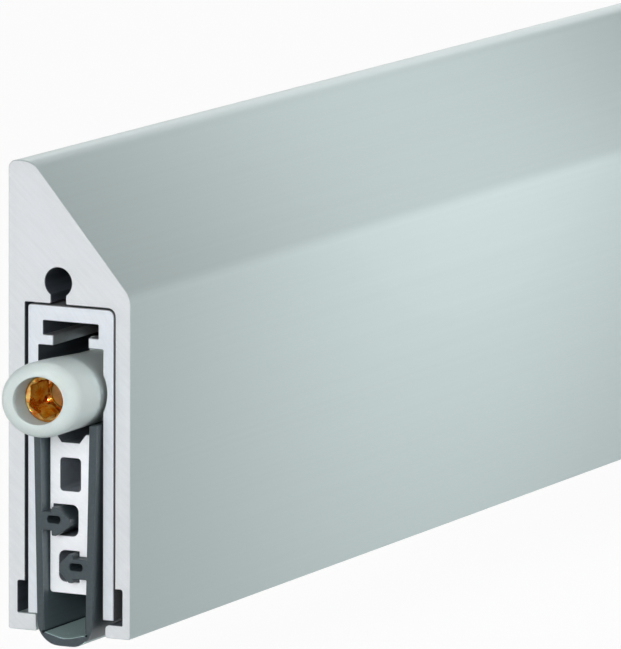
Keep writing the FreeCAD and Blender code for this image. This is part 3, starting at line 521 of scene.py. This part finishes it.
sealSizes = dict(overhang=1.6, legTop=27.5, legOuter=4.5, legFoot=3.9, legThick=1.0, bevel=0.12,
                 topRound=0.12, bevelRound=0.15, sole=-1.3, soleRound=3.05, floorEdge=0.35, floorSag=0.75,
                 dipRound=4.9, nick=0.2, nickOut=0.12, nickSteps=18, edge=0.07,
                 rootRound=0.15, neckRound=0.1, wingRound=0.15, tipRound=0.25, tipHalf=0.45,
                 holeInner=0.65, holeOuter=2.55, holeHalf=0.475, holeRise=0.25, holeRound=0.4,
                 backBarb=dict(side=1, slotZ=14.7, stem=1.2, wing=1.85, wingBack=1.9, wingFront=1.3,
                               tip=-0.75),
                 frontBarb=dict(side=-1, slotZ=8.8, stem=1.275, wing=1.85, wingBack=1.15, wingFront=0.55,
                                tip=-0.85))


def legInner(s, z):
    # the leg's inner face leans in towards the sole
    slope = (s["legOuter"] - s["legFoot"]) / (s["legTop"] - s["sole"])
    return s["legFoot"] - s["legThick"] + slope * (z - s["sole"])


def barbLoop(s, b):
    # from the leg out along the stem, over the wing to the tip and back below
    upper = [(legInner(s, b["slotZ"] + b["stem"]), b["stem"], s["rootRound"]),
             (b["wingBack"], b["stem"], s["neckRound"]),
             (b["wingBack"], b["wing"], s["wingRound"]),
             (b["wingFront"], b["wing"], s["wingRound"]),
             (b["tip"], s["tipHalf"], s["tipRound"])]
    lower = [(o, -z, r) for o, z, r in upper]
    lower[0] = (legInner(s, b["slotZ"] - b["stem"]), -b["stem"], s["rootRound"])
    return [((midY + b["side"] * o, b["slotZ"] + z), r) for o, z, r in upper + lower[::-1]]


def barbHole(s, b):
    # the slot through a barb's root: four rounded corners
    low, high = (b["slotZ"] + s["holeRise"] + half for half in (-s["holeHalf"], s["holeHalf"]))
    near, far = (midY + b["side"] * o for o in (s["holeInner"], s["holeOuter"]))
    return filletLoop([(near, low), (far, low), (far, high), (near, high)], [s["holeRound"]] * 4)


def floorCorner(s, side):
    # a small round nick where the leg meets the floor, from the leg's face round to the floor
    mouth = math.degrees(math.acos(s["nickOut"] / s["nick"]))
    centre = (legInner(s, s["floorEdge"]) + s["nickOut"], s["floorEdge"])
    nick = arcPoints(centre, s["nick"], 180 - mouth, -180, s["nickSteps"])
    return [((midY + side * o, z), 0.0) for o, z in nick]


def makeSeal(s):
    # a loop up one leg's outside, down its inside, across the floor and over the other leg, carried along X
    bevelZ = s["legTop"] - s["bevel"]
    leg = [((midY + s["legFoot"], s["sole"]), s["soleRound"]),
           ((midY + s["legOuter"], s["legTop"]), s["topRound"]),
           ((midY + legInner(s, bevelZ), bevelZ), s["bevelRound"])]
    mirrored = [((2 * midY - y, z), r) for (y, z), r in leg[::-1]]
    dip = [((midY, s["floorEdge"] - s["floorSag"]), s["dipRound"])]
    ring = (leg + barbLoop(s, s["backBarb"]) + floorCorner(s, 1) + dip + floorCorner(s, -1)[::-1]
            + barbLoop(s, s["frontBarb"])[::-1] + mirrored)
    loops = [filletLoop([c for c, _ in ring], [r for _, r in ring]),
             barbHole(s, s["backBarb"]), barbHole(s, s["frontBarb"])]

    def sealSlot(y, z):
        # the floor is pale with painted light, and the legs' inner faces, which lie between it and the
        # outside, are lighter with painted light
        floorInset, soleGap, slack, wallDepth, wallStart = 0.08, 0.3, 0.02, 0.06, 0.1
        out = abs(y - midY)
        floor = (out < legInner(s, s["floorEdge"]) - floorInset) & (z > s["sole"] + soleGap)
        floor &= z < s["floorEdge"] + slack
        wall = (abs(out - legInner(s, z)) < wallDepth) & (z > s["floorEdge"] + wallStart)
        return np.where(floor, paintedLightAndShadeSlot, np.where(wall, paintedLightWallSlot, outerSlot))

    return extrusion("sealStrip", loops, nearX - s["overhang"], farX + s["overhang"],
                     [rubber, rubber, paintedFloorLight, paintedLightRubber], s["edge"], sealSlot)


seal = makeSeal(sealSizes)
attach(seal, "bar")
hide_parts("seal")
print("seal made")


# Plunger head: round stem with a slanted face, rounded rim and bore

# stemX and stemRadius: the stem between rim and end, flattened along its top
headSizes = dict(radius=4.87, faceX=-176.4, slantDeg=18.0, rim=1.4, rimSteps=10, endX=-157.5, endBreak=0.2,
                 stemX=(-172.4, -170.0, -167.5, -163.0, -157.9), stemRadius=(4.85, 4.79, 4.71, 4.58, 4.52),
                 boreRadius=3.05, boreEnd=-165.85, rodRadius=2.1, mouth=0.1, mouthSteps=5,
                 keyLength=0.8, keyHalf=2.2, keyTop=36.95, keyRound=0.4, keyEdge=0.1, columns=128)


def makeHead(s):
    # rings from the stem's end over the rim, across the slanted face, down the bore and back
    slant = math.radians(s["slantDeg"])
    theta = np.linspace(0, 2 * np.pi, s["columns"], endpoint=False)
    c, w = np.cos(theta), np.sin(theta)

    def slanted(depth, inset, radius):
        # the cut of a round stem by the slanted plane, drawn in by inset and set back by depth
        wide = radius / math.cos(slant) - inset
        x = s["faceX"] + depth / math.cos(slant) - math.sin(slant) * wide * c
        return np.column_stack([x, midY + math.cos(slant) * wide * c, axisZ + (radius - inset) * w])

    def square(x, radius):
        return np.column_stack([np.full_like(c, x), midY + radius * c, axisZ + radius * w])

    def sunk(x, radius):
        # a thinner circle that still rests on the stem's lowest line
        return square(x, radius) - [0, 0, s["radius"] - radius]

    rings = [sunk(s["endX"], s["stemRadius"][-1] - s["endBreak"])]
    rings += [sunk(x, r) for x, r in zip(s["stemX"][::-1], s["stemRadius"][::-1])]
    turns = np.radians(np.linspace(0, 90, s["rimSteps"]))
    rings += [slanted(s["rim"] * (1 - math.sin(a)), s["rim"] * (1 - math.cos(a)), s["radius"])
              for a in turns]
    lip = np.radians(np.linspace(90, 0, s["mouthSteps"]))
    rings += [slanted(s["mouth"] * (1 - math.sin(a)), -s["mouth"] * (1 - math.cos(a)), s["boreRadius"])
              for a in lip]
    rings += [square(s["boreEnd"], s["boreRadius"]), square(s["boreEnd"], s["rodRadius"]),
              square(s["endX"], s["rodRadius"])]
    grid = np.stack(rings)[::-1]
    faces = gridQuads(len(rings), s["columns"], closeRows=True)
    return finishMesh("plungerHead", grid.reshape(-1, 3), faces.tolist(), [nylon], sharpDeg=40)


def makeKey(s):
    # tongue on top of the stem that runs between the channel's ledges
    low, high = axisZ + s["radius"] - s["rim"], s["keyTop"]
    left, right = midY - s["keyHalf"], midY + s["keyHalf"]
    loop = filletLoop([(left, low), (right, low), (right, high), (left, high)],
                      [s["keyEdge"], s["keyEdge"], s["keyRound"], s["keyRound"]])
    startX = s["endX"] - s["keyLength"]
    return extrusion("plungerKey", [loop], startX, s["endX"], [nylon, nylon], s["keyEdge"])


head = makeHead(headSizes)
key = makeKey(headSizes)
for part in (head, key):
    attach(part, "plunger")
    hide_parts("plunger_head")
print("plunger made")


# Adjusting screw: brass sleeve with a hex socket

screwSizes = dict(faceX=-174.4, length=8.5, radius=3.0, chamfer=0.25, endChamfer=0.2, beadAt=6.1,
                  beadLength=1.0, beadHeight=0.3, beadSlope=0.15, flats=4.5, turnDeg=6.0, perSide=16,
                  mouthRadius=2.68, mouthSlope=0.6, mouthBreak=0.04, mouthFlare=0.03, draft=0.02,
                  socketDepth=5.0, socketStep=0.25, boreRadius=2.05)


def makeScrew(s):
    # rings from the bore out of the socket's mouth and back along the outside
    # the hex is a radius by angle: half the flats over the cosine of the angle from the middle of a side
    columns = 6 * s["perSide"]
    sixth = np.radians(60)
    corner = np.radians(s["turnDeg"] + 30)
    a = corner + np.linspace(0, 2 * np.pi, columns, endpoint=False)
    withinSide = np.mod(a - corner, sixth) - sixth / 2
    hexRadius = s["flats"] / 2 / np.cos(withinSide)
    one = np.ones(columns)

    def ring(depth, radius):
        return np.column_stack([s["faceX"] + depth * one, midY + radius * np.cos(a),
                                axisZ + radius * np.sin(a)])

    countersink = (s["mouthRadius"] - hexRadius) * s["mouthSlope"]
    bead0, bead1 = s["beadAt"], s["beadAt"] + s["beadLength"]
    beadRadius = s["radius"] + s["beadHeight"]
    rings = [ring(s["length"], s["boreRadius"] * one),
             ring(s["socketDepth"] + s["socketStep"], s["boreRadius"] * one),
             ring(s["socketDepth"], hexRadius - s["draft"]),
             ring(countersink + s["mouthBreak"], hexRadius),
             ring(countersink, hexRadius + s["mouthFlare"]), ring(0, s["mouthRadius"] * one),
             ring(0, (s["radius"] - s["chamfer"]) * one), ring(s["chamfer"], s["radius"] * one),
             ring(bead0, s["radius"] * one), ring(bead0 + s["beadSlope"], beadRadius * one),
             ring(bead1 - s["beadSlope"], beadRadius * one), ring(bead1, s["radius"] * one),
             ring(s["length"] - s["endChamfer"], s["radius"] * one),
             ring(s["length"], (s["radius"] - s["endChamfer"]) * one)]
    grid = np.stack(rings)
    faces = gridQuads(len(rings), columns, closeRows=True)
    return finishMesh("adjustingScrew", grid.reshape(-1, 3), faces.tolist(), [brass], sharpDeg=25)


screw = makeScrew(screwSizes)
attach(screw, "adjuster")
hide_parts("adjusting_screw")
print("adjusting screw made")


# Return spring: drawn wire wound about the rod, pressed together by the stroke

springSizes = dict(startX=-149.0, endX=-129.5, radius=3.15, wire=0.45, turns=6.0, perTurn=40, around=12,
                   left=12.5, startGap=0.05, endGap=0.2)


def makeSpring(s):
    # a circle carried along a helix; it shrinks almost to a point at each end
    steps = int(s["turns"] * s["perTurn"])
    t = np.linspace(0, 1, steps)
    turn = 2 * np.pi * s["turns"] * t
    run = s["endX"] - s["startX"] - 2 * s["wire"] - s["startGap"] - s["endGap"]
    x = s["startX"] + s["wire"] + s["startGap"] + t * run
    b = np.linspace(0, 2 * np.pi, s["around"], endpoint=False)[None, :]
    size = s["wire"] * np.sqrt(np.clip(np.minimum(t, 1 - t) * steps / 2, 1e-4, 1))[:, None]
    r = s["radius"] + size * np.cos(b)
    grid = np.stack([x[:, None] + size * np.sin(b), midY + r * np.cos(turn)[:, None],
                     axisZ + r * np.sin(turn)[:, None]], -1)
    faces = gridQuads(steps, s["around"]).tolist()
    ends = [list(range(s["around"]))[::-1], list(range((steps - 1) * s["around"], steps * s["around"]))]
    return finishMesh("returnSpring", grid.reshape(-1, 3), faces + ends, [springSteel], sharpDeg=60)


spring = makeSpring(springSizes)
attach(spring, "rod")
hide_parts("return_spring")
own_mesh(spring)
print("spring made")


# Nodes that keep their own shape get their finish here

finishes = dict(drop_bar=bright, push_rod=steel, spring_collar=steel, lift_strip=steel, strip_rivet=steel,
                block_pins=steel, near_follower=steel, far_follower=steel, near_follower_pin=steel,
                far_follower_pin=steel, saddle_rivets=steel, rod_bush=acetal, near_guide_block=acetal,
                far_guide_block=acetal)
for nodeName, finish in finishes.items():
    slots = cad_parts[nodeName].material_slots
    if not slots:
        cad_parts[nodeName].data.materials.append(finish)
    for slot in slots:
        slot.material = finish
print("nodes finished:", len(finishes))


# Stage: pale floor, white surround, soft studio light

stageLook = dict(floorZ=-0.0106, floorSize=8.0, floorColour="#e9eaea", floorWhite=0.95, floorGloss=0.65,
                 ambient=0.29, ceiling=0.3, horizonLow=-0.02, horizonHigh=0.4)


def whiteShare(tree, camera, glossy):
    # how far a ray meets plain white: camera and see-through rays by one share, glossy rays by another
    path = addNode(tree, "ShaderNodeLightPath")
    seen = addNode(tree, "ShaderNodeMath", {"operation": "MAXIMUM"},
                   {0: path.outputs["Is Camera Ray"], 1: path.outputs["Is Transmission Ray"]})
    seen = addNode(tree, "ShaderNodeMath", {"operation": "MULTIPLY", 1: camera}, {0: seen.outputs[0]})
    shiny = addNode(tree, "ShaderNodeMath", {"operation": "MULTIPLY"},
                    {0: path.outputs["Is Glossy Ray"]})
    if isinstance(glossy, float):
        shiny.inputs[1].default_value = glossy
    else:
        tree.links.new(glossy, shiny.inputs[1])
    share = addNode(tree, "ShaderNodeMath", {"operation": "MAXIMUM"},
                    {0: seen.outputs[0], 1: shiny.outputs[0]})
    return share.outputs[0]


def makeStage(s):
    # a square floor and a surround that is white to the camera and dimmer as a light
    half = s["floorSize"] / 2
    mesh = bpy.data.meshes.new("floor")
    corners = [(-half, -half, s["floorZ"]), (half, -half, s["floorZ"]), (half, half, s["floorZ"]),
               (-half, half, s["floorZ"])]
    mesh.from_pydata(corners, [], [(0, 1, 2, 3)])
    floor = bpy.data.objects.new("floor", mesh)
    bpy.context.scene.collection.objects.link(floor)
    material = bpy.data.materials.new("paleFloor")
    material.use_nodes = True
    tree = material.node_tree
    tree.nodes.clear()
    matt = addNode(tree, "ShaderNodeBsdfDiffuse", {"Color": hexColour(s["floorColour"])})
    white = addNode(tree, "ShaderNodeEmission", {"Color": (1, 1, 1, 1), "Strength": 1.0})
    share = whiteShare(tree, s["floorWhite"], s["floorGloss"])
    mixed = addNode(tree, "ShaderNodeMixShader",
                    links={0: share, 1: matt.outputs[0], 2: white.outputs[0]})
    addNode(tree, "ShaderNodeOutputMaterial", links={"Surface": mixed.outputs[0]})
    mesh.materials.append(material)
    world = bpy.data.worlds.new("surround")
    world.use_nodes = True
    bpy.context.scene.world = world
    tree = world.node_tree
    tree.nodes.clear()
    soft = addNode(tree, "ShaderNodeBackground", {"Color": (1, 1, 1, 1), "Strength": s["ambient"]})
    white = addNode(tree, "ShaderNodeBackground", {"Color": (1, 1, 1, 1), "Strength": 1.0})
    place = addNode(tree, "ShaderNodeTexCoord")
    upward = addNode(tree, "ShaderNodeSeparateXYZ", links={0: place.outputs["Generated"]})
    fade = {"From Min": s["horizonLow"], "From Max": s["horizonHigh"],
            "To Min": 1.0, "To Max": s["ceiling"]}
    horizon = addNode(tree, "ShaderNodeMapRange", fade, {"Value": upward.outputs["Z"]})
    share = whiteShare(tree, 1.0, horizon.outputs[0])
    mixed = addNode(tree, "ShaderNodeMixShader",
                    links={0: share, 1: soft.outputs[0], 2: white.outputs[0]})
    addNode(tree, "ShaderNodeOutputWorld", links={"Surface": mixed.outputs[0]})


# a narrow spread gathers the light, so few watts are enough; glint: shiny surfaces mirror the lamp
lamps = dict(
    key=dict(place=(-1.5, -0.14, 0.45), target=(-0.15, -0.01, 0.03), size=0.6, watts=12.5,
             spreadDeg=180, glint=False),
    glow=dict(place=(-1.0, -0.42, 0.2), target=(-0.174, -0.009, 0.031), size=0.12, watts=0.0014,
              spreadDeg=4, glint=True),
    spark=dict(place=(-0.75, -0.16, 0.18), target=(-0.175, -0.009, 0.031), size=0.08, watts=0.0033,
               spreadDeg=8, glint=True),
    side=dict(place=(-0.03, -0.5, 0.12), target=(-0.065, -0.01, 0.085), size=0.1, watts=0.175,
              spreadDeg=30, glint=False),
    rim=dict(place=(1.9, 0.7, 0.65), target=(-0.05, -0.01, 0.06), size=0.9, watts=4.2,
             spreadDeg=180, glint=True),
)


def makeLamp(name, s):
    # a square lamp that looks from its place to its target
    data = bpy.data.lights.new(name, "AREA")
    data.size = s["size"]
    data.energy = s["watts"]
    data.spread = math.radians(s["spreadDeg"])
    lamp = bpy.data.objects.new(name, data)
    lamp.location = s["place"]
    lamp.visible_glossy = s["glint"]
    lamp.rotation_euler = (Vector(s["target"]) - Vector(s["place"])).to_track_quat("-Z", "Y").to_euler()
    bpy.context.scene.collection.objects.link(lamp)


makeStage(stageLook)
for lampName, lampSizes in lamps.items():
    makeLamp(lampName, lampSizes)
print("stage and lamps made")


# Camera: long lens at the photograph's viewing angle

viewPoint = dict(place=(-1.15963, -0.53625, 0.21989), azimuth=-63.557, elevation=9.096, roll=0.295,
                 lens=498.75, sensor=36.0, clip=(0.01, 100.0))


def makeCamera(s):
    # the axes of the view from its two angles, then turned by the roll
    az, el, roll = (math.radians(s[k]) for k in ("azimuth", "elevation", "roll"))
    back = Vector((math.sin(az) * math.cos(el), -math.cos(az) * math.cos(el), math.sin(el)))
    right = Vector((math.cos(az), math.sin(az), 0))
    up = back.cross(right)
    tilted = right * math.cos(roll) + up * math.sin(roll)
    upright = up * math.cos(roll) - right * math.sin(roll)
    data = bpy.data.cameras.new("photoCamera")
    data.lens = s["lens"]
    data.sensor_width = s["sensor"]
    data.clip_start, data.clip_end = s["clip"]
    camera = bpy.data.objects.new("photoCamera", data)
    turned = Matrix((tilted, upright, back)).transposed().to_4x4()
    camera.matrix_world = Matrix.Translation(s["place"]) @ turned
    bpy.context.scene.collection.objects.link(camera)
    bpy.context.scene.camera = camera


makeCamera(viewPoint)
bpy.context.scene.view_settings.view_transform = "Standard"
print("camera set")
